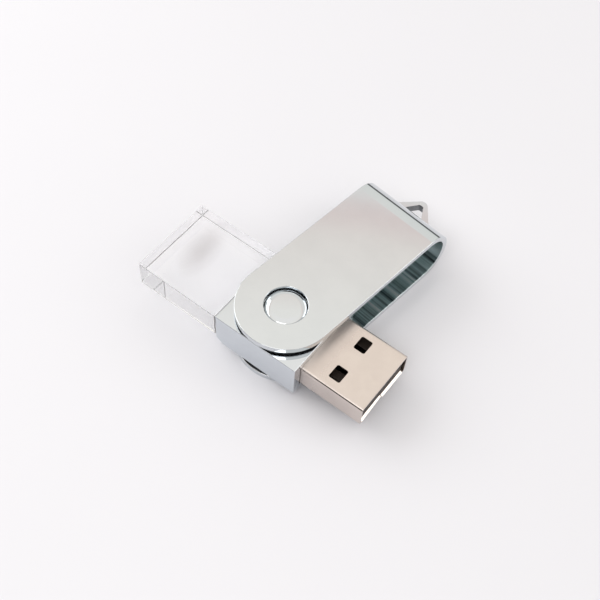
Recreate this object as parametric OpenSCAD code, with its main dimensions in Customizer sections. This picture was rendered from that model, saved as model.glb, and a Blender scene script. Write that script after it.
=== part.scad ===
// Swivel flash drive: a square metal base with a clear block bonded to one end and a
// USB type A plug at the other, and a folded metal clip that turns about the base.
// +X points along the plug, +Z up. The origin is on the pivot axis, at the surface that
// the drive rests on, which is the underside of the lower leaf of the clip.

/* [Base] */
// Length of the base along the plug
base_length = 15.2; // [14.8:0.1:16]
// Width of the base and of the clear block
base_width = 15.2; // [14.6:0.1:15.4]
// Height of the base
base_height = 6.6; // [6.2:0.1:6.8]
// Length of the slant cut under the base's rear end, along the plug
rear_slant = 1.2; // [0.8:0.1:1.3]
// Thickness of the base's rear wall, behind the clear block
rear_wall = 1.2; // [1:0.1:1.6]
// Gap around the plug and the cradle in the base's pocket
pocket_gap = 0.1; // [0.05:0.01:0.12]

/* [Clear block] */
// Length of the clear block
block_length = 15.5; // [12:0.5:15.5]
// Height of the clear block, whose top is level with the base's
block_height = 5; // [4.6:0.1:5.2]
// Thickness of the adhesive film between block and base
film_thickness = 0.1; // [0.05:0.05:0.2]
// Margin of the film inside the edges of the joint
film_margin = 0.15; // [0.1:0.05:0.3]
// Chamfer on the long edges of the block
block_chamfer = 0.25; // [0.15:0.05:0.4]

/* [Clip] */
// Width of the clip, which is also the diameter of its round end
clip_width = 15.7; // [15:0.1:16.4]
// Outside height of the folded clip
clip_height = 9.7; // [9.6:0.1:10.2]
// Thickness of the clip's strip
clip_thickness = 1; // [0.9:0.05:1]
// Distance from the pivot to the outside of the closed bend
clip_reach = 29.9; // [29.9:0.1:34]
// Angle of the clip from the plug's direction, as it lies
clip_angle = 83; // [0:1:359]

/* [Pivot] */
// Diameter of the hole in each leaf of the clip
pivot_hole = 6.8; // [6.6:0.1:7.2]
// Gap between a pivot cap and the hole that turns on it
pivot_gap = 0.15; // [0.05:0.05:0.25]
// Depth of each cap's face below the leaf's surface
cap_recess = 0.3; // [0.2:0.05:0.45]
// Width of the slope round each cap's face
cap_slope = 1; // [0.6:0.1:1.2]
// Drop of that slope, from the face to the cap's side
cap_drop = 0.3; // [0.15:0.05:0.35]
// Diameter of each cap's stem
stem_diameter = 3; // [2.4:0.1:3.4]
// Length of each cap's stem inside the base's wall
stem_length = 0.5; // [0.3:0.05:0.5]
// Outside diameter of each spacer washer
washer_diameter = 14.4; // [12:0.1:14.5]

/* [Key loop] */
// Length of the key loop beyond the bend
loop_reach = 3.8; // [3.6:0.1:4.2]
// Width of the key loop where it meets the bend
loop_width = 7.7; // [7.4:0.1:8.6]
// Thickness of the key loop
loop_thickness = 1.4; // [1.2:0.1:1.8]
// Width of the metal around the loop's hole
loop_band = 1; // [0.9:0.05:1.1]

/* [Plug] */
// Width of the plug's shell
plug_width = 12; // [11.9:0.05:12.1]
// Height of the plug's shell
plug_height = 4.5; // [4.4:0.05:4.6]
// Length of the plug that stands out of the base
plug_reach = 11.1; // [11:0.1:12]
// Length of the plug's shell inside the base
plug_seat = 4; // [3.6:0.1:4.4]
// Thickness of the plug's shell
shell_thickness = 0.3; // [0.25:0.05:0.35]
// Outside radius of the shell's four long corners
shell_corner = 0.6; // [0.5:0.05:0.8]
// Distance of the plug's middle below the base's middle
plug_drop = 0.3; // [0.2:0.05:0.35]
// Width of each window in the shell
window_width = 2.5; // [2.3:0.1:2.6]
// Length of each window in the shell
window_length = 2; // [1.8:0.1:2.2]
// Radius of the windows' corners
window_corner = 0.3; // [0.1:0.05:0.4]
// Distance of each window from the plug's mouth
window_setback = 5.3; // [5.1:0.1:5.5]
// Distance of each window's middle from the plug's middle line
window_offset = 3.15; // [3:0.05:3.3]
// Length of the two solder tabs behind the shell
tab_length = 1.2; // [1:0.1:1.3]
// Height of the tongue inside the shell
tongue_height = 1.84; // [1.8:0.02:1.9]
// Distance of the tongue's front from the mouth
tongue_setback = 0.4; // [0.3:0.1:0.8]

/* [Electronics] */
// Thickness of the circuit board
board_thickness = 0.8; // [0.6:0.1:0.8]
// Width of the circuit board
board_width = 11.2; // [11:0.1:11.3]

/* [Hidden] */
$fn = 96;
over = 1; // how far a cut runs past the surface that it opens

// Levels above the surface that the drive rests on
middle = clip_height / 2;
base_bottom = middle - base_height / 2;
base_top = middle + base_height / 2;
leaf_gap = base_bottom - clip_thickness;
plug_middle = middle - plug_drop;
shell_floor = plug_middle - plug_height / 2 + shell_thickness;
tongue_top = shell_floor + tongue_height;

// Places along the plug
base_front = base_length / 2;
base_back = -base_length / 2;
mouth = base_front + plug_reach;
shell_back = base_front - plug_seat;
block_front = base_back - film_thickness;
block_middle = base_top - block_height / 2;
pocket_back = base_back + rear_wall;
rear_rise = 1; // height of the slant cut

// Pocket in the base, which takes the plug and the cradle behind it
pocket_width = plug_width + 2 * pocket_gap;
pocket_height = plug_height + 2 * pocket_gap;
window_light = [2.6, 1.5]; // width and height of the lamp's window in the rear wall

// Clip
bend_radius = clip_height / 2;
bend_start = clip_reach - bend_radius;
loop_nose = 1; // radius of the key loop's outer end
cap_radius = pivot_hole / 2 - pivot_gap;
washer_play = 0.05; // gap left over each washer

// Contacts: the two power strips reach further forward than the two data strips
contact_width = 1;
contact_thickness = 0.2;
power_setback = 1.2;
data_setback = 2.2;
power_offset = 3.5;
data_offset = 1;
cavity_depth = 9; // from the mouth to the tongue's rear block
tail_back = 1.9; // where the contacts' tails end, on the board

// Board and the pieces on it
board_top = tongue_top - contact_thickness;
board_bottom = board_top - board_thickness;
board_front = shell_back - 0.1;
board_back = pocket_back + 0.35;
board_play = 0.03;
tab_height = 1.6;
lip_step = 0.2; // how far the two ends of the shell's sheet differ at the mouth
lead = 0.05; // standoff of each chip's body from the board

// A box given by its middle in X and Y, its lowest level, and its size
module block_at(x, y, z, size) {
    translate([x - size[0] / 2, y - size[1] / 2, z]) cube(size);
}

// Outline of a rectangle with round corners, made of straight sides and true arcs
module rounded_outline(width, height, radius) {
    square([width - 2 * radius, height], center = true);
    square([width, height - 2 * radius], center = true);
    for (side_x = [-1, 1], side_y = [-1, 1])
        translate([side_x * (width / 2 - radius), side_y * (height / 2 - radius)]) circle(radius);
}

// Turns an outline drawn in Y and Z into a bar along X
module along_x(back, front) {
    translate([back, 0, 0]) rotate([90, 0, 90]) linear_extrude(front - back) children();
}

// Turns a top half about the drive's middle plane into the matching bottom half
module underside() {
    translate([0, 0, clip_height]) mirror([0, 0, 1]) children();
}

// Side outline of the base, with the slant cut under its rear end
module base_outline() {
    polygon([[base_back, base_top], [base_front, base_top], [base_front, base_bottom],
        [base_back + rear_slant, base_bottom], [base_back, base_bottom + rear_rise]]);
}

module base_housing() {
    color([0.80, 0.82, 0.84]) difference() {
        translate([0, base_width / 2, 0]) rotate([90, 0, 0]) linear_extrude(base_width) base_outline();
        along_x(pocket_back, base_front + over)
            translate([0, plug_middle]) square([pocket_width, pocket_height], center = true);
        along_x(base_back - over, pocket_back + over)
            translate([0, board_top + window_light[1] / 2]) square(window_light, center = true);
        translate([0, 0, base_top - stem_length]) cylinder(h = stem_length + over, d = stem_diameter);
        translate([0, 0, base_bottom - over]) cylinder(h = stem_length + over, d = stem_diameter);
    }
}

// Chamfered outline of the clear block, seen along the plug
module block_outline() {
    half_width = base_width / 2;
    half_height = block_height / 2;
    polygon([for (side = [[1, 1], [-1, 1], [-1, -1], [1, -1]], step = [0, 1])
        let (cut_width = (side[0] == side[1]) == (step == 0) ? 0 : block_chamfer)
        [side[0] * (half_width - cut_width),
         side[1] * (half_height - block_chamfer + cut_width)]]);
}

module crystal_block() {
    color([0.93, 0.96, 0.98, 0.35])
        along_x(block_front - block_length, block_front) translate([0, block_middle]) block_outline();
}

module crystal_adhesive() {
    color([0.95, 0.95, 0.90, 0.5]) block_at(
        base_back - film_thickness / 2, 0, base_top - block_height + film_margin,
        [film_thickness, base_width - 2 * film_margin, block_height - 2 * film_margin]);
}

// Outline of the folded strip, seen from its side: two leaves joined by a half round bend
module strip_outline(inset) {
    reach_back = clip_width / 2 + over;
    translate([-reach_back, inset]) square([reach_back + bend_start, clip_height - 2 * inset]);
    translate([bend_start, middle]) circle(bend_radius - inset, $fn = 128);
}

module swivel_clip() {
    color([0.86, 0.87, 0.87]) rotate([0, 0, clip_angle]) difference() {
        intersection() {
            translate([0, clip_width / 2, 0]) rotate([90, 0, 0]) linear_extrude(clip_width)
                difference() {
                    strip_outline(0);
                    strip_outline(clip_thickness);
                }
            translate([0, 0, -over]) linear_extrude(clip_height + 2 * over) {
                circle(clip_width / 2, $fn = 128);
                translate([0, -clip_width / 2]) square([clip_reach + over, clip_width]);
            }
        }
        translate([0, 0, -over]) cylinder(h = clip_height + 2 * over, d = pivot_hole);
    }
}

// Outline of the key loop, seen from above: straight sides that lean in to a round nose
module loop_outline() {
    hull() {
        translate([clip_reach + loop_reach - loop_nose, 0]) circle(loop_nose, $fn = 32);
        translate([clip_reach - 0.1, -loop_width / 2]) square([0.1, loop_width]);
    }
    translate([bend_start + 2, -loop_width / 2]) square([clip_reach - bend_start - 2, loop_width]);
}

// Eye of the key loop: a three-cornered hole with round corners
module loop_eye() {
    corner = 0.3;
    tip = clip_reach + loop_reach - loop_band - corner;
    foot = clip_reach + 0.35 + corner;
    spread = loop_width / 2 - 1.8 * loop_band - corner - 0.35;
    hull() {
        translate([tip, -0.2]) circle(corner, $fn = 32);
        translate([tip, 0.2]) circle(corner, $fn = 32);
        for (side = [-1, 1]) translate([foot, side * spread]) circle(corner, $fn = 32);
    }
}

module key_loop() {
    color([0.84, 0.85, 0.86]) rotate([0, 0, clip_angle]) difference() {
        translate([0, 0, middle - loop_thickness / 2]) linear_extrude(loop_thickness) difference() {
            loop_outline();
            loop_eye();
        }
        translate([bend_start, 0, middle]) rotate([90, 0, 0])
            cylinder(h = 2 * loop_width, r = bend_radius, center = true, $fn = 128);
    }
}

// One pivot cap: a stem in the base's wall and a round, slope-edged head that the clip turns on
module pivot_cap() {
    face = clip_height - cap_recess;
    color([0.88, 0.88, 0.88]) {
        rotate_extrude() polygon([[0, base_top], [cap_radius, base_top],
            [cap_radius, face - cap_drop], [cap_radius - cap_slope, face], [0, face]]);
        translate([0, 0, base_top - stem_length]) cylinder(h = stem_length + cap_drop, d = stem_diameter);
    }
}

module pivot_cap_top() {
    pivot_cap();
}

module pivot_cap_bottom() {
    underside() pivot_cap();
}

// One spacer washer, which keeps a leaf off the base's polished face
module spacer_washer() {
    color([0.15, 0.15, 0.16]) translate([0, 0, base_top]) difference() {
        cylinder(h = leaf_gap - washer_play, d = washer_diameter);
        translate([0, 0, -over]) cylinder(h = leaf_gap + 2 * over, d = pivot_hole);
    }
}

module spacer_washer_top() {
    spacer_washer();
}

module spacer_washer_bottom() {
    underside() spacer_washer();
}

// Seam where the shell's folded sheet meets, with two dovetail locks
module shell_seam() {
    slit = 0.08;
    lock_length = 1.6;
    lock_width = 1.2;
    level = plug_middle - plug_height / 2 - over;
    depth = shell_thickness + 2 * over;
    locks = [base_front + 2.6, base_front + 7.4];
    ends = [shell_back - over, locks[0], locks[0] + lock_length, locks[1], locks[1] + lock_length, mouth + over];
    for (run = [0 : 4]) {
        shift = run % 2 == 0 ? 0 : lock_width;
        translate([ends[run] - slit / 2, shift - slit / 2, level])
            cube([ends[run + 1] - ends[run] + slit, slit, depth]);
    }
    for (step = [1 : 4])
        translate([ends[step] - slit / 2, -slit / 2, level]) cube([slit, lock_width + slit, depth]);
}

// Wedge off the lower lip of the mouth, on one side of the seam, where the sheet's two ends differ
module lip_cut() {
    translate([0, 0, plug_middle - plug_height / 2 - over]) linear_extrude(shell_thickness + over)
        polygon([[mouth + over, shell_corner - plug_width / 2], [mouth, shell_corner - plug_width / 2],
            [mouth - lip_step, 0], [mouth + over, 0]]);
}

module usb_shell() {
    color([0.84, 0.80, 0.75]) difference() {
        along_x(shell_back, mouth) translate([0, plug_middle]) difference() {
            rounded_outline(plug_width, plug_height, shell_corner);
            rounded_outline(plug_width - 2 * shell_thickness, plug_height - 2 * shell_thickness,
                shell_corner - shell_thickness);
        }
        for (side = [-1, 1])
            translate([mouth - window_setback - window_length / 2, side * window_offset,
                plug_middle - plug_height / 2 - over])
                linear_extrude(plug_height + 2 * over)
                    rounded_outline(window_length, window_width, window_corner);
        shell_seam();
        lip_cut();
    }
    color([0.84, 0.80, 0.75]) for (side = [-1, 1])
        block_at(shell_back - tab_length / 2, side * (plug_width - shell_thickness) / 2, board_top,
            [tab_length, shell_thickness, tab_height]);
}

// Contact strip number 0 to 3 across the tongue: ground, data plus, data minus, supply
function contact_y(index) = [power_offset, data_offset, -data_offset, -power_offset][index];
function contact_front(index) = mouth - tongue_setback - (index % 3 == 0 ? power_setback : data_setback);

module contact_strip(index) {
    color([0.88, 0.70, 0.30]) translate([tail_back, contact_y(index) - contact_width / 2, board_top])
        cube([contact_front(index) - tail_back, contact_width, contact_thickness]);
}

module contact_vbus() {
    contact_strip(3);
}

module contact_data_minus() {
    contact_strip(2);
}

module contact_data_plus() {
    contact_strip(1);
}

module contact_ground() {
    contact_strip(0);
}

module usb_tongue() {
    tongue_width = plug_width - 2 * shell_thickness - 0.1;
    block_height = plug_height - 2 * shell_thickness;
    corner = shell_corner - shell_thickness + 0.05;
    color([0.10, 0.10, 0.10]) difference() {
        intersection() {
            along_x(shell_back + 0.1, mouth - tongue_setback)
                translate([0, plug_middle]) rounded_outline(tongue_width, block_height, corner);
            union() {
                along_x(shell_back, mouth)
                    translate([-tongue_width, shell_floor - over]) square([2 * tongue_width, tongue_height + over]);
                along_x(shell_back, mouth - cavity_depth)
                    translate([-tongue_width, shell_floor - over]) square([2 * tongue_width, plug_height + over]);
            }
        }
        for (index = [0 : 3])
            translate([0, contact_y(index) - contact_width / 2, board_top])
                cube([contact_front(index), contact_width, contact_thickness]);
    }
}

// Solder on the four contacts' tails, one bead each
module contact_solder() {
    color([0.75, 0.76, 0.78]) for (index = [0 : 3])
        block_at(tail_back + 0.7, contact_y(index), tongue_top, [1, contact_width - 0.1, 0.2]);
}

// Solder between the board's top and the shell's two tabs, one bead each
module shell_solder() {
    bead = [0.9, 0.5, 0.5];
    beside = plug_width / 2 - shell_thickness - bead[1] / 2;
    color([0.75, 0.76, 0.78]) for (side = [-1, 1])
        block_at(shell_back - 0.65, side * beside, board_top, bead);
}

module circuit_board() {
    color([0.06, 0.32, 0.16]) difference() {
        block_at((board_front + board_back) / 2, 0, board_bottom,
            [board_front - board_back, board_width, board_thickness]);
        for (side = [-1, 1])
            translate([board_back + 0.9, side * (board_width / 2 - 0.9), board_bottom - over])
                cylinder(h = board_thickness + 2 * over, d = 0.6);
    }
}

// A chip's moulded body with a pin-one dimple, standing on a row of short pads
module chip_body(size, pads) {
    difference() {
        translate([-size[0] / 2, -size[1] / 2, lead]) cube([size[0], size[1], size[2] - lead]);
        translate([-size[0] / 2 + 0.5, -size[1] / 2 + 0.5, size[2] - 0.08]) cylinder(h = over, d = 0.4);
    }
    spacing = (size[1] - 0.6) / (pads - 1);
    for (index = [0 : pads - 1], side = [-1, 1])
        translate([side * (size[0] / 2 - 0.2) - 0.15, -size[1] / 2 + 0.3 + index * spacing - 0.1, 0])
            cube([0.3, 0.2, lead + 0.01]);
}

module controller_chip() {
    color([0.08, 0.08, 0.09]) translate([-3.5, 1.5, board_top]) chip_body([3.2, 4, 0.85], 6);
}

module flash_chip() {
    color([0.07, 0.07, 0.08]) translate([-1.9, 0, board_bottom]) mirror([0, 0, 1]) chip_body([7, 8.6, 0.7], 8);
}

module clock_oscillator() {
    color([0.78, 0.78, 0.76]) {
        block_at(-0.7, 3.2, board_top, [2, 2.5, 0.45]);
        block_at(-0.7, 3.2, board_top, [1.7, 2.2, 0.6]);
    }
}

module voltage_regulator() {
    color([0.09, 0.09, 0.10]) translate([-0.9, -3.4, board_top]) chip_body([1.7, 2.8, 0.9], 3);
}

// Small two-ended parts, each with a metal cap at both ends
module small_part(x, y, size) {
    translate([x, y, board_top]) {
        translate([-size[0] / 2 + 0.2, -size[1] / 2 + 0.02, 0]) cube([size[0] - 0.4, size[1] - 0.04, size[2] - 0.02]);
        for (side = [-1, 1])
            translate([side * (size[0] / 2 - 0.125) - 0.125, -size[1] / 2, 0]) cube([0.25, size[1], size[2]]);
    }
}

module capacitors() {
    color([0.72, 0.60, 0.44]) for (row = [0 : 4])
        small_part(-3.9 + (row % 2) * 1.5, -1.6 - 0.95 * floor(row / 2), [1, 0.5, 0.5]);
}

module resistors() {
    color([0.16, 0.16, 0.18]) for (row = [0 : 2])
        small_part(-0.9, -0.7 + row * 0.9, [1, 0.5, 0.35]);
}

// Lamp at the board's back edge, which shines through the base's window into the clear block
module indicator_led() {
    lamp = [0.8, 1.6, 0.8];
    color([0.95, 0.95, 0.88]) {
        block_at(board_back + lamp[0] / 2, 0, board_top, lamp);
        translate([board_back, 0, board_top + lamp[2] / 2]) rotate([0, -90, 0]) cylinder(h = 0.15, d = 0.6, $fn = 48);
    }
}

// Plastic cradle halves that line the pocket and hold the board between them
cradle_width = plug_width;
cradle_wall = 0.55;
cradle_skin = 0.25;
cradle_front = shell_back - tab_length - 0.15;
cradle_back = pocket_back + 0.05;

module cradle_lower() {
    bottom = plug_middle - plug_height / 2;
    color([0.22, 0.22, 0.24]) along_x(cradle_back, cradle_front) difference() {
        translate([-cradle_width / 2, bottom]) square([cradle_width, board_top - bottom]);
        translate([-cradle_width / 2 + cradle_wall, bottom + cradle_skin])
            square([cradle_width - 2 * cradle_wall, plug_height]);
        translate([-board_width / 2 - board_play, board_bottom])
            square([board_width + 2 * board_play, plug_height]);
    }
}

module cradle_upper() {
    top = plug_middle + plug_height / 2;
    color([0.22, 0.22, 0.24]) along_x(cradle_back, cradle_front) difference() {
        translate([-cradle_width / 2, board_top]) square([cradle_width, top - board_top]);
        translate([-cradle_width / 2 + cradle_wall, board_top - over])
            square([cradle_width - 2 * cradle_wall, top - cradle_skin - board_top + over]);
    }
}

base_housing();
crystal_block();
crystal_adhesive();
swivel_clip();
key_loop();
pivot_cap_top();
pivot_cap_bottom();
spacer_washer_top();
spacer_washer_bottom();
usb_shell();
usb_tongue();
contact_vbus();
contact_data_minus();
contact_data_plus();
contact_ground();
contact_solder();
shell_solder();
circuit_board();
controller_chip();
flash_chip();
clock_oscillator();
voltage_regulator();
capacitors();
resistors();
indicator_led();
cradle_lower();
cradle_upper();
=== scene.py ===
import math

import bmesh
import bpy
from mathutils import Matrix, Vector


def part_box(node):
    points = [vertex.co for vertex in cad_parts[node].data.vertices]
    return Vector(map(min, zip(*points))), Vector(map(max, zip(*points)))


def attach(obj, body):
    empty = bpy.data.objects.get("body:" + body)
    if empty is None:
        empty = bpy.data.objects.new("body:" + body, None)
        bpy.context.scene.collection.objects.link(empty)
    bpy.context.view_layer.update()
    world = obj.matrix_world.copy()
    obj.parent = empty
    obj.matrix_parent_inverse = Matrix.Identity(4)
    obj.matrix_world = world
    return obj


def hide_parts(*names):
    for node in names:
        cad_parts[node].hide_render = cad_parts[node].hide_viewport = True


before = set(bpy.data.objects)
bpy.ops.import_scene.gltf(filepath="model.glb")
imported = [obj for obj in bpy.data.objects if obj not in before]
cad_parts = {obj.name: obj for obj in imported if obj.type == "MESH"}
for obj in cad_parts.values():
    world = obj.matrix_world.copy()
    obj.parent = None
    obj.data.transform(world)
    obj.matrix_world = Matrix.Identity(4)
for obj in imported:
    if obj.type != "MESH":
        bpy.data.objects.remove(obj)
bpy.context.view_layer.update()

DRIVE, CLIP = "drive", "clip"

# ---------------------------------------------------------------- measures, in metres
MM = 0.001
MICRON = 0.000001

base_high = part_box("base_housing")[1]
block_low, block_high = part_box("crystal_block")
clip_low, clip_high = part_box("swivel_clip")
shell_low, shell_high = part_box("usb_shell")
cap_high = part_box("pivot_cap_top")[1]
middle = (clip_low.z + clip_high.z) / 2

# The clip lies at an angle to the plug, and its distances run along it from the pivot
clip_angle = math.radians(83)
clip_along = Vector((math.cos(clip_angle), math.sin(clip_angle), 0))
clip_across = Vector((math.sin(clip_angle), -math.cos(clip_angle), 0))
clip_reach = 29.9 * MM
leaf_thickness = 1.0 * MM
bend_radius = (clip_high.z - clip_low.z) / 2
bend_start = clip_reach - bend_radius
eye_middle = 31.4 * MM

# The plug's shell
sheet_thickness = 0.3 * MM
shell_corner = 0.6 * MM
lip_slope = 0.36 * MM

# The pivot caps
stem_radius = 1.5 * MM
stem_length = 0.5 * MM
cap_slope, cap_drop, cap_corner = 1.1 * MM, 0.33 * MM, 0.10 * MM

# The clear block
block_chamfer = 0.16 * MM
# Where the painted shadow sits inside the clear block, and its size
painted_shadow_setback, painted_shadow_offset = 5.2 * MM, 1.6 * MM
painted_shadow_size = (6.2 * MM, 2.6 * MM, 20 * MM)

SQUARE = 0.1  # the most that a face's normal may lean towards an axis and count as square to it
MIX_A, MIX_B, MIX_RESULT = 6, 7, 2  # a Mix node's colour sockets


# ---------------------------------------------------------------- camera, light and floor
def add_camera():
    """The camera looks down at the drive from beyond the plug, with a slight roll."""
    azimuth, elevation, roll = math.radians(33.54), math.radians(56.3), math.radians(4.62)
    aim = Vector((-0.68 * MM, 4.73 * MM, middle))
    distance = 147.9 * MM
    back = Vector((
        math.sin(azimuth) * math.cos(elevation),
        -math.cos(azimuth) * math.cos(elevation),
        math.sin(elevation),
    ))
    camera = bpy.data.objects.new("camera", bpy.data.cameras.new("camera"))
    bpy.context.scene.collection.objects.link(camera)
    camera.data.lens = 56.39
    camera.data.sensor_width = 36.0
    camera.data.clip_start = 0.005
    camera.data.clip_end = 20.0
    turn = (-back).to_track_quat("-Z", "Y").to_matrix() @ Matrix.Rotation(roll, 3, "Z")
    camera.matrix_world = Matrix.Translation(aim + back * distance) @ turn.to_4x4()
    bpy.context.scene.camera = camera


def add_softbox(name, place, size, power):
    """A rectangular lamp that faces the pivot; place and size in metres, power in watts."""
    light = bpy.data.lights.new(name, "AREA")
    light.shape = "RECTANGLE"
    light.size, light.size_y = size
    light.energy = power
    box = bpy.data.objects.new(name, light)
    bpy.context.scene.collection.objects.link(box)
    box.location = place
    box.rotation_mode = "QUATERNION"
    box.rotation_quaternion = (-Vector(place)).to_track_quat("-Z", "Y")


def color_ramp(nodes, stops):
    """A colour ramp node with the given (position, colour) stops."""
    ramp = nodes.new("ShaderNodeValToRGB")
    elements = ramp.color_ramp.elements
    while len(elements) < len(stops):
        elements.new(0.5)
    for element, (position, color) in zip(elements, stops):
        element.position = position
        element.color = (*color, 1)
    return ramp


def add_world():
    """A pale studio by height above the horizon, with an unlit low stretch on the -Y side."""
    near_direction = (-0.05, -1.0, 0)
    backdrop_color = (0.86, 0.86, 0.86, 1)
    world = bpy.data.worlds.new("studio")
    bpy.context.scene.world = world
    world.use_nodes = True
    nodes, links = world.node_tree.nodes, world.node_tree.links
    nodes.clear()
    out = nodes.new("ShaderNodeOutputWorld")
    place = nodes.new("ShaderNodeTexCoord")
    height = nodes.new("ShaderNodeSeparateXYZ")
    links.new(place.outputs["Generated"], height.inputs[0])
    far_side = color_ramp(nodes, (
        (0.00, (0.50, 0.49, 0.49)), (0.02, (0.12, 0.12, 0.12)), (0.14, (0.14, 0.14, 0.14)),
        (0.21, (0.93, 0.935, 0.885)), (0.72, (0.97, 0.95, 0.90)), (0.758, (1.00, 0.97, 0.93)),
        (0.767, (0.95, 0.82, 0.78)), (0.777, (0.98, 0.85, 0.80)), (0.79, (1.04, 0.96, 0.89)),
        (0.85, (1.12, 1.08, 1.01)), (1.00, (1.14, 1.10, 1.06)),
    ))
    near_side = color_ramp(nodes, (
        (0.00, (0.20, 0.19, 0.18)), (0.03, (0.05, 0.045, 0.04)), (0.50, (0.07, 0.06, 0.055)),
        (0.60, (1.10, 1.10, 1.12)), (0.68, (1.40, 1.39, 1.40)), (0.82, (1.40, 1.38, 1.38)),
        (1.00, (1.14, 1.10, 1.06)),
    ))
    towards = nodes.new("ShaderNodeVectorMath")
    towards.operation = "DOT_PRODUCT"
    towards.inputs[1].default_value = near_direction
    links.new(place.outputs["Generated"], towards.inputs[0])
    share = nodes.new("ShaderNodeMapRange")
    share.interpolation_type = "SMOOTHSTEP"
    share.inputs["From Min"].default_value = 0.42
    share.inputs["From Max"].default_value = 0.74
    links.new(towards.outputs["Value"], share.inputs["Value"])
    walls = nodes.new("ShaderNodeMix")
    walls.data_type = "RGBA"
    links.new(share.outputs["Result"], walls.inputs["Factor"])
    for ramp, socket in ((far_side, MIX_A), (near_side, MIX_B)):
        links.new(height.outputs["Z"], ramp.inputs["Fac"])
        links.new(ramp.outputs["Color"], walls.inputs[socket])
    around = nodes.new("ShaderNodeBackground")
    links.new(walls.outputs[MIX_RESULT], around.inputs["Color"])
    backdrop = nodes.new("ShaderNodeBackground")
    backdrop.inputs["Color"].default_value = backdrop_color
    path = nodes.new("ShaderNodeLightPath")
    mix = nodes.new("ShaderNodeMixShader")
    links.new(path.outputs["Is Camera Ray"], mix.inputs[0])
    links.new(around.outputs[0], mix.inputs[1])
    links.new(backdrop.outputs[0], mix.inputs[2])
    links.new(mix.outputs[0], out.inputs[0])


# ---------------------------------------------------------------- materials
class Finish:
    """A node material built round one Principled shader."""

    def __init__(self, name, color, metallic=0.0, roughness=0.4, **sockets):
        self.material = bpy.data.materials.new(name)
        self.material.use_nodes = True
        self.nodes = self.material.node_tree.nodes
        self.links = self.material.node_tree.links
        self.shader = self.nodes["Principled BSDF"]
        self.set("Base Color", (*color, 1))
        self.set("Metallic", metallic)
        self.set("Roughness", roughness)
        for socket, value in sockets.items():
            self.set(socket.replace("_", " "), value)
        self.place = self.nodes.new("ShaderNodeTexCoord").outputs["Object"]

    def set(self, socket, value):
        """Sets a constant on the shader."""
        self.shader.inputs[socket].default_value = value

    def noise(self, scale, detail=3.0, roughness=0.5, stretch=(1, 1, 1), turn=0.0):
        """Noise over the object's own coordinates, turned about Z, then squeezed; scale per metre."""
        mapping = self.nodes.new("ShaderNodeMapping")
        mapping.vector_type = "TEXTURE"
        mapping.inputs["Scale"].default_value = tuple(1 / each for each in stretch)
        mapping.inputs["Rotation"].default_value = (0, 0, turn)
        texture = self.nodes.new("ShaderNodeTexNoise")
        texture.inputs["Scale"].default_value = scale
        texture.inputs["Detail"].default_value = detail
        texture.inputs["Roughness"].default_value = roughness
        self.links.new(self.place, mapping.inputs["Vector"])
        self.links.new(mapping.outputs["Vector"], texture.inputs["Vector"])
        return texture.outputs["Fac"]

    def spread(self, source, low, high, source_low=0.3, source_high=0.7):
        """Maps a texture's values onto a range."""
        node = self.nodes.new("ShaderNodeMapRange")
        node.inputs["From Min"].default_value = source_low
        node.inputs["From Max"].default_value = source_high
        node.inputs["To Min"].default_value = low
        node.inputs["To Max"].default_value = high
        self.links.new(source, node.inputs["Value"])
        return node.outputs["Result"]

    def along(self, axis, turn=0.0):
        """The distance along one axis of the object, after a turn about Z, in metres."""
        mapping = self.nodes.new("ShaderNodeMapping")
        mapping.vector_type = "TEXTURE"
        mapping.inputs["Rotation"].default_value = (0, 0, turn)
        parts = self.nodes.new("ShaderNodeSeparateXYZ")
        self.links.new(self.place, mapping.inputs["Vector"])
        self.links.new(mapping.outputs["Vector"], parts.inputs[0])
        return parts.outputs[axis]

    def fade_color(self, share, color):
        """Fades the present base colour to a plain one where share reaches 1."""
        node = self.nodes.new("ShaderNodeMix")
        node.data_type = "RGBA"
        self.links.new(share, node.inputs["Factor"])
        present = self.shader.inputs["Base Color"].links[0].from_socket
        self.links.new(present, node.inputs[MIX_A])
        node.inputs[MIX_B].default_value = (*color, 1)
        self.links.new(node.outputs[MIX_RESULT], self.shader.inputs["Base Color"])

    def vary_color(self, source, *stops):
        """Colours the surface by a texture, through a ramp of (position, colour) stops."""
        ramp = color_ramp(self.nodes, stops)
        self.links.new(source, ramp.inputs["Fac"])
        self.links.new(ramp.outputs["Color"], self.shader.inputs["Base Color"])

    def vary_roughness(self, source, low, high):
        """Varies the roughness between two values by a texture."""
        self.links.new(self.spread(source, low, high), self.shader.inputs["Roughness"])

    def bump(self, source, height, strength=1.0):
        """Raises the surface by a texture; height is in metres. Calls stack."""
        node = self.nodes.new("ShaderNodeBump")
        node.inputs["Strength"].default_value = strength
        node.inputs["Distance"].default_value = height
        self.links.new(source, node.inputs["Height"])
        earlier = self.shader.inputs["Normal"].links
        if earlier:
            self.links.new(earlier[0].from_socket, node.inputs["Normal"])
        self.links.new(node.outputs["Normal"], self.shader.inputs["Normal"])


def chrome(name, color, darker, waves):
    """Mirror chrome plate: soft waves in the polish, faint smudges and hair scratches."""
    finish = Finish(name, color, metallic=1.0)
    smudges = finish.noise(170, 4, 0.6)
    finish.vary_color(smudges, (0.30, darker), (0.62, color))
    finish.vary_roughness(finish.noise(420, 5, 0.62), 0.025, 0.07)
    finish.bump(finish.noise(75, 1, 0.4), waves)
    finish.bump(finish.noise(2600, 2, 0.5, stretch=(1, 14, 1), turn=0.4), 0.25 * MICRON, 0.5)
    return finish.material


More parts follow.
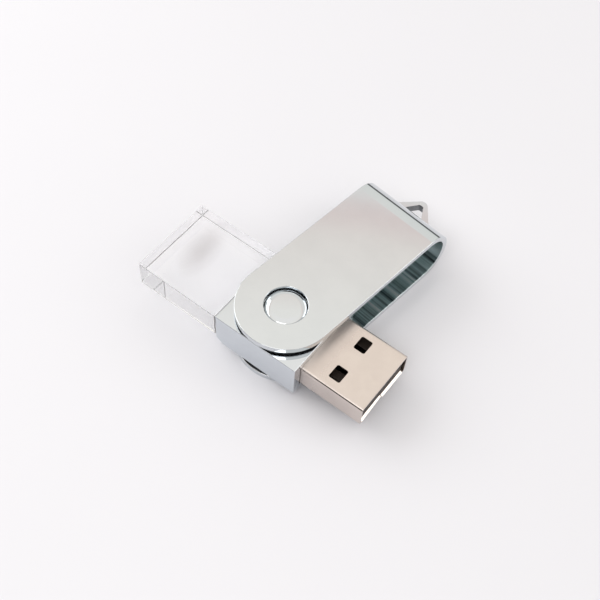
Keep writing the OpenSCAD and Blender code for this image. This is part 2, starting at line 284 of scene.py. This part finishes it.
def inner_chrome_painted_shade(name):
    """Plate inside the clip: dull and dark with painted shade, with painted reflection bands across
    the strip beyond the base, and a lighter plain plate beside the base.
    """
    # The dark colour is painted shade between the leaves, and the bands are painted reflections.
    finish = Finish(name, (0.2, 0.25, 0.25), metallic=1.0)
    painted_reflection_bands = finish.noise(600, 3, 0.62, stretch=(1, 0.012, 0.012), turn=clip_angle)
    finish.vary_color(
        painted_reflection_bands, (0.37, (0.05, 0.065, 0.07)), (0.46, (0.36, 0.44, 0.45)),
        (0.54, (0.66, 0.77, 0.78)), (0.63, (1.0, 1.0, 1.0)),
    )
    beside_base = finish.spread(finish.along("X", clip_angle), 1, 0, 8.5 * MM, 10.5 * MM)
    finish.fade_color(beside_base, (0.74, 0.75, 0.76))
    finish.vary_roughness(beside_base, 0.30, 0.14)
    return finish.material


def nickel(name):
    """Bright nickel on rolled sheet: warm, with a fine lengthwise grain, and duller by the base."""
    finish = Finish(name, (0.67, 0.60, 0.56), metallic=1.0)
    cloud = finish.noise(260, 4, 0.6)
    finish.vary_color(cloud, (0.28, (0.645, 0.575, 0.535)), (0.70, (0.695, 0.625, 0.58)))
    grain = finish.spread(finish.noise(900, 4, 0.6, stretch=(0.15, 1, 1)), 0.13, 0.20)
    by_base = finish.spread(finish.along("X"), 0.26, 0, 8.5 * MM, 11.5 * MM)
    total = finish.nodes.new("ShaderNodeMath")
    finish.links.new(grain, total.inputs[0])
    finish.links.new(by_base, total.inputs[1])
    finish.links.new(total.outputs[0], finish.shader.inputs["Roughness"])
    finish.bump(finish.noise(1500, 3, 0.6, stretch=(0.06, 1, 1)), 0.2 * MICRON, 0.4)
    finish.bump(finish.noise(140, 1, 0.4), 4 * MICRON)
    return finish.material


def clear(name, color, roughness, index, cloud=0.0):
    """Clear material; cloud is how much rougher its dullest patches are."""
    finish = Finish(name, color, roughness=roughness, Transmission_Weight=1.0, IOR=index)
    finish.vary_roughness(finish.noise(600, 5, 0.65), roughness, roughness + 0.012 + cloud)
    finish.bump(finish.noise(110, 1, 0.4), 0.6 * MICRON)
    return finish.material


def clear_with_painted_shadow(name, color, index):
    """Clear material with a painted shadow: it turns softly grey in a long patch near the block's
    outer end.
    """
    finish = Finish(name, color, roughness=0.0, Transmission_Weight=1.0, IOR=index)
    place = finish.nodes.new("ShaderNodeMapping")
    place.vector_type = "TEXTURE"
    place.inputs["Location"].default_value = (
        block_low.x + painted_shadow_setback, painted_shadow_offset, block_high.z,
    )
    place.inputs["Rotation"].default_value = (0, 0, math.radians(-89))
    place.inputs["Scale"].default_value = painted_shadow_size
    shadow_ball = finish.nodes.new("ShaderNodeTexGradient")
    shadow_ball.gradient_type = "SPHERICAL"
    finish.links.new(finish.place, place.inputs["Vector"])
    finish.links.new(place.outputs["Vector"], shadow_ball.inputs["Vector"])
    # Painted shadow: a soft grey patch stands in for the block's shadow on the floor, seen through
    # it.
    finish.vary_color(shadow_ball.outputs["Fac"], (0.0, color), (0.75, (0.77, 0.755, 0.75)))
    finish.vary_roughness(finish.noise(600, 5, 0.65), 0.0, 0.012)
    finish.bump(finish.noise(110, 1, 0.4), 0.6 * MICRON)
    return finish.material


def plastic(name, color, roughness, grain):
    """Moulded plastic with a fine grain and slightly uneven shine."""
    finish = Finish(name, color, roughness=roughness)
    lighter = tuple(min(1, c * 1.25 + 0.004) for c in color)
    finish.vary_color(finish.noise(700, 4, 0.6), (0.3, color), (0.75, lighter))
    finish.vary_roughness(finish.noise(1500, 3, 0.55), roughness - 0.06, roughness + 0.1)
    finish.bump(finish.noise(6500, 3, 0.6), grain)
    return finish.material


def contact_plate(name):
    """Gold on the contacts' free fronts, with painted shade turning the strips dark where they run
    under the windows.
    """
    bright, worn, painted_window_shade = (0.83, 0.61, 0.25), (0.68, 0.50, 0.20), (0.02, 0.017, 0.014)
    finish = Finish(name, bright, metallic=1.0)
    finish.vary_color(finish.noise(900, 4, 0.6), (0.3, worn), (0.6, bright))
    # Painted shade: the strips fade to near black towards the back, under the windows.
    finish.fade_color(finish.spread(finish.along("X"), 1, 0, 14.8 * MM, 15.4 * MM), painted_window_shade)
    finish.vary_roughness(finish.noise(1800, 3, 0.6), 0.16, 0.30)
    finish.bump(finish.noise(4200, 3, 0.55), MICRON)
    return finish.material


def metal(name, color, roughness):
    """A small plated or soldered metal piece."""
    finish = Finish(name, color, metallic=1.0)
    worn = tuple(c * 0.82 for c in color)
    finish.vary_color(finish.noise(900, 4, 0.6), (0.3, worn), (0.6, color))
    finish.vary_roughness(finish.noise(1800, 3, 0.6), roughness, roughness + 0.14)
    finish.bump(finish.noise(4200, 3, 0.55), MICRON)
    return finish.material


def board_mask(name):
    """Green solder mask over a grid of copper tracks, which show as raised, lighter lines."""
    finish = Finish(name, (0.02, 0.12, 0.06), roughness=0.3)
    bricks = finish.nodes.new("ShaderNodeTexBrick")
    bricks.inputs["Scale"].default_value = 900
    bricks.inputs["Mortar Size"].default_value = 0.09
    bricks.inputs["Color1"].default_value = (0.018, 0.105, 0.05, 1)
    bricks.inputs["Color2"].default_value = (0.022, 0.125, 0.06, 1)
    bricks.inputs["Mortar"].default_value = (0.04, 0.24, 0.11, 1)
    finish.links.new(finish.place, bricks.inputs["Vector"])
    finish.links.new(bricks.outputs["Color"], finish.shader.inputs["Base Color"])
    finish.vary_roughness(finish.noise(1200, 3, 0.5), 0.24, 0.36)
    finish.bump(bricks.outputs["Fac"], 20 * MICRON, 0.5)
    return finish.material


def paper_floor():
    """Pale matt paper, very slightly uneven."""
    finish = Finish("floor_paper", (0.72, 0.72, 0.76), roughness=0.55, Specular_IOR_Level=0.25)
    finish.vary_color(finish.noise(9, 3, 0.5), (0.2, (0.71, 0.71, 0.75)), (0.8, (0.73, 0.73, 0.77)))
    finish.bump(finish.noise(1800, 3, 0.6), 4 * MICRON, 0.4)
    return finish.material


# ---------------------------------------------------------------- mesh tools
def new_piece(name, mesh_builder, body, material, node):
    """Makes a mesh object from a bmesh, which stands for a CAD node and takes its slot."""
    mesh = bpy.data.meshes.new(name)
    mesh_builder.normal_update()
    mesh_builder.to_mesh(mesh)
    mesh_builder.free()
    piece = bpy.data.objects.new(name, mesh)
    bpy.context.scene.collection.objects.link(piece)
    mesh.materials.append(material)
    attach(piece, body)
    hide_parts(node)
    return piece


def soften(piece, width, segments=3, angle=35):
    """Rounds the sharp edges and keeps the flats' shading flat."""
    for polygon in piece.data.polygons:
        polygon.use_smooth = True
    bevel = piece.modifiers.new("rounded_edges", "BEVEL")
    bevel.width = width
    bevel.segments = segments
    bevel.limit_method = "ANGLE"
    bevel.angle_limit = math.radians(angle)
    bevel.miter_outer = "MITER_ARC"
    bevel.use_clamp_overlap = True
    bevel.harden_normals = False
    shading = piece.modifiers.new("flat_flats", "WEIGHTED_NORMAL")
    shading.mode = "FACE_AREA_WITH_ANGLE"
    shading.weight = 100
    shading.keep_sharp = True


def node_mesh(node):
    """A clean copy of a CAD node's mesh: joined vertices, and flats without cross lines."""
    build = bmesh.new()
    build.from_mesh(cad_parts[node].data)
    bmesh.ops.remove_doubles(build, verts=build.verts, dist=0.5 * MICRON)
    bmesh.ops.dissolve_limit(
        build, angle_limit=math.radians(0.5), verts=build.verts, edges=build.edges,
    )
    build.normal_update()
    return build


def line_faces(piece, material, chosen):
    """Gives the faces that the test picks a finish of their own."""
    piece.data.materials.append(material)
    for face in piece.data.polygons:
        if chosen(face):
            face.material_index = len(piece.data.materials) - 1


def inside_clip(face):
    """Between the clip's leaves and inside its bend."""
    along = face.center.dot(clip_along) - bend_start
    rise = face.center.z - middle
    inwards = face.normal.z * rise + face.normal.dot(clip_along) * along
    across = abs(face.normal.dot(clip_across))
    reach = math.hypot(max(along, 0), rise)
    inner_reach = bend_radius - leaf_thickness + 0.1 * MM
    return inwards < 0 and across < SQUARE and reach < inner_reach


def inside_eye(face):
    """The walls of the key loop's eye."""
    along = face.center.dot(clip_along)
    lengthwise = face.normal.dot(clip_along) * (along - eye_middle)
    crosswise = face.normal.dot(clip_across) * face.center.dot(clip_across)
    return abs(face.normal.z) < SQUARE and lengthwise + crosswise < 0 and along > clip_reach


def inside_shell(face):
    """The inner faces of the plug's shell."""
    rise = face.center.z - (shell_low.z + shell_high.z) / 2
    inwards = face.normal.z * rise + face.normal.y * face.center.y
    inside_sheet = 0.2 * MM
    half_height = (shell_high.z - shell_low.z) / 2 - inside_sheet
    half_width = shell_high.y - inside_sheet
    within = abs(rise) < half_height and abs(face.center.y) < half_width
    return inwards < 0 and abs(face.normal.x) < SQUARE and within


def shell_with_sloped_lip():
    """The plug's shell, whose lower sheet ends in a slope that faces up and out of the mouth."""
    build = node_mesh("usb_shell")
    sheet_top = shell_low.z + sheet_thickness
    corner = shell_high.y - shell_corner
    near = 0.02 * MM
    mouth = [vert for vert in build.verts if vert.co.x > shell_high.x - 0.3 * MM]

    def nearest(place):
        return min(mouth, key=lambda vert: (vert.co - place).length)

    for side in (-1, 1):
        places = [Vector((shell_high.x, side * corner, level)) for level in (shell_low.z, sheet_top)]
        bmesh.ops.connect_verts(build, verts=[nearest(place) for place in places])
    for vert in mouth:
        if abs(vert.co.y) < corner + near and abs(vert.co.z - sheet_top) < near:
            vert.co.x -= lip_slope
    return build


def refined(node, name, body, material, width, segments=3):
    """Stands a finer copy of a CAD node in its place, with rounded edges."""
    piece = new_piece(name, node_mesh(node), body, material, node)
    soften(piece, width, segments)
    return piece


def lathe(profile, steps=128):
    """Turns a profile of (radius, height) points about the pivot axis."""
    build = bmesh.new()
    rings = []
    for radius, height in profile:
        angles = [2 * math.pi * step / steps for step in range(steps)] if radius else [0]
        rings.append([
            build.verts.new((radius * math.cos(angle), radius * math.sin(angle), height))
            for angle in angles
        ])
    for inner, outer in zip(rings, rings[1:]):
        for step in range(steps):
            after = (step + 1) % steps
            corners = [
                inner[step % len(inner)], inner[after % len(inner)],
                outer[after % len(outer)], outer[step % len(outer)],
            ]
            build.faces.new(list(dict.fromkeys(corners)))
    bmesh.ops.recalc_face_normals(build, faces=build.faces)
    return build


# ---------------------------------------------------------------- pieces
chrome_clip = chrome("clip_chrome", (0.665, 0.695, 0.72), (0.64, 0.67, 0.695), 10 * MICRON)
chrome_base = chrome("base_chrome", (0.665, 0.70, 0.735), (0.64, 0.675, 0.71), 6 * MICRON)
chrome_cap = chrome("cap_chrome", (0.665, 0.695, 0.72), (0.64, 0.67, 0.695), 4 * MICRON)
# Painted shade and painted reflections on the faces inside the clip.
inner_painted_shade = inner_chrome_painted_shade("inner_painted_shade")
# Painted shade: dark chrome on the inner walls of the key loop's eye.
eye_painted_shade = chrome("eye_painted_shade", (0.30, 0.31, 0.32), (0.22, 0.23, 0.24), 10 * MICRON)
# Painted shade: dark brown metal on the inner faces of the plug's shell.
shell_painted_shade = metal("shell_painted_shade", (0.15, 0.12, 0.10), 0.30)
nickel_plate = nickel("plug_nickel")
# The block's glass carries a painted shadow near its outer end.
crystal = clear_with_painted_shadow("clear_block", (0.99, 0.993, 0.995), 1.52)
crystal_edge = clear("clear_edge", (0.99, 0.99, 0.99), 0.35, 1.52, 0.1)
adhesive = clear("clear_film", (0.96, 0.96, 0.94), 0.06, 1.47, 0.1)
tongue_black = plastic("tongue_black", (0.036, 0.026, 0.020), 0.5, 3 * MICRON)
cradle_grey = plastic("cradle_grey", (0.05, 0.05, 0.055), 0.5, 3 * MICRON)
washer_black = plastic("washer_nylon", (0.02, 0.02, 0.022), 0.45, 2 * MICRON)
chip_black = plastic("chip_epoxy", (0.016, 0.016, 0.018), 0.5, 4 * MICRON)
capacitor_tan = plastic("capacitor_ceramic", (0.38, 0.25, 0.14), 0.35, 2 * MICRON)
resistor_dark = plastic("resistor_glaze", (0.03, 0.03, 0.035), 0.3, 2 * MICRON)
lamp_white = plastic("lamp_package", (0.82, 0.80, 0.70), 0.3, 2 * MICRON)
gold = contact_plate("contact_gold")
solder = metal("solder_tin", (0.72, 0.73, 0.75), 0.22)
can_steel = metal("oscillator_steel", (0.70, 0.70, 0.69), 0.2)
board_green = board_mask("board_mask")


def add_floor():
    """A plain sheet of pale paper, three metres each way."""
    build = bmesh.new()
    bmesh.ops.create_grid(build, x_segments=8, y_segments=8, size=1.5)
    mesh = bpy.data.meshes.new("floor")
    build.to_mesh(mesh)
    build.free()
    floor = bpy.data.objects.new("floor", mesh)
    bpy.context.scene.collection.objects.link(floor)
    mesh.materials.append(paper_floor())


def add_cap(node, name, upward):
    """A turned cap: flat face, soft slope round it, straight side, and the stem under it."""
    face = cap_high.z - base_high.z
    radius = cap_high.x
    profile = [
        (0, -stem_length), (stem_radius, -stem_length), (stem_radius, 0),
        (radius, 0), (radius, face - cap_drop - cap_corner),
    ]
    slope_steps, slope_curve, corner_curve = 14, 1.7, 9
    for step in range(1, slope_steps + 1):
        share = step / slope_steps
        fall = cap_drop * (1 - share) ** slope_curve + cap_corner * (1 - share) ** corner_curve
        profile.append((radius - cap_slope * share, face - fall))
    profile.append((0, face))
    build = lathe(profile)
    sign = 1 if upward else -1
    for vert in build.verts:
        vert.co.z = middle + sign * (base_high.z - middle + vert.co.z)
    if not upward:
        bmesh.ops.reverse_faces(build, faces=build.faces)
    cap = new_piece(name, build, DRIVE, chrome_cap, node)
    for polygon in cap.data.polygons:
        polygon.use_smooth = True
    cap.data.set_sharp_from_angle(angle=math.radians(50))


def add_crystal():
    """The clear block, with a fine ground chamfer on every edge."""
    build = bmesh.new()
    bmesh.ops.create_cube(build, size=1)
    size = block_high - block_low
    centre = (block_high + block_low) / 2
    for vert in build.verts:
        vert.co = Vector(a * b for a, b in zip(vert.co, size)) + centre
    bmesh.ops.bevel(
        build, geom=list(build.edges), offset=block_chamfer, offset_type="WIDTH",
        segments=1, profile=0.5, affect="EDGES",
    )
    block = new_piece("clear_block", build, DRIVE, crystal, "crystal_block")
    line_faces(block, crystal_edge, lambda face: max(abs(part) for part in face.normal) < 0.9)
    soften(block, 0.03 * MM, 2, 20)
    block.visible_shadow = False  # clear glass lets the light through to the floor


add_camera()
add_world()
add_softbox("key", (-0.36, -0.05, 0.25), (0.44, 0.26), 0.78)
add_softbox("front_fill", (0.06, -0.28, 0.42), (0.26, 0.20), 0.34)
add_softbox("right_card", (0.34, 0.24, 0.22), (0.20, 0.22), 0.22)
add_floor()

strip = refined("swivel_clip", "clip_strip", CLIP, chrome_clip, 0.36 * MM, 5)
line_faces(strip, inner_painted_shade, inside_clip)
lug = refined("key_loop", "key_ring_lug", CLIP, chrome_clip, 0.25 * MM, 4)
line_faces(lug, eye_painted_shade, inside_eye)
refined("base_housing", "metal_base", DRIVE, chrome_base, 0.12 * MM, 3)
shell = new_piece("plug_shell", shell_with_sloped_lip(), DRIVE, nickel_plate, "usb_shell")
soften(shell, 0.05 * MM)
line_faces(shell, shell_painted_shade, inside_shell)
refined("usb_tongue", "plug_tongue", DRIVE, tongue_black, 0.08 * MM, 3)
add_cap("pivot_cap_top", "upper_cap", True)
add_cap("pivot_cap_bottom", "lower_cap", False)
add_crystal()
for name, material, width in (
    ("crystal_adhesive", adhesive, 0.03), ("spacer_washer_top", washer_black, 0.06),
    ("spacer_washer_bottom", washer_black, 0.06), ("contact_vbus", gold, 0.05),
    ("contact_data_minus", gold, 0.05), ("contact_data_plus", gold, 0.05),
    ("contact_ground", gold, 0.05), ("contact_solder", solder, 0.09),
    ("shell_solder", solder, 0.15), ("circuit_board", board_green, 0.04),
    ("controller_chip", chip_black, 0.02), ("flash_chip", chip_black, 0.02),
    ("clock_oscillator", can_steel, 0.06), ("voltage_regulator", chip_black, 0.02),
    ("capacitors", capacitor_tan, 0.02), ("resistors", resistor_dark, 0.02),
    ("indicator_led", lamp_white, 0.05), ("cradle_lower", cradle_grey, 0.06),
    ("cradle_upper", cradle_grey, 0.06),
):
    refined(name, name + "_piece", DRIVE, material, width * MM, 2)

bpy.context.scene.view_settings.view_transform = "Standard"
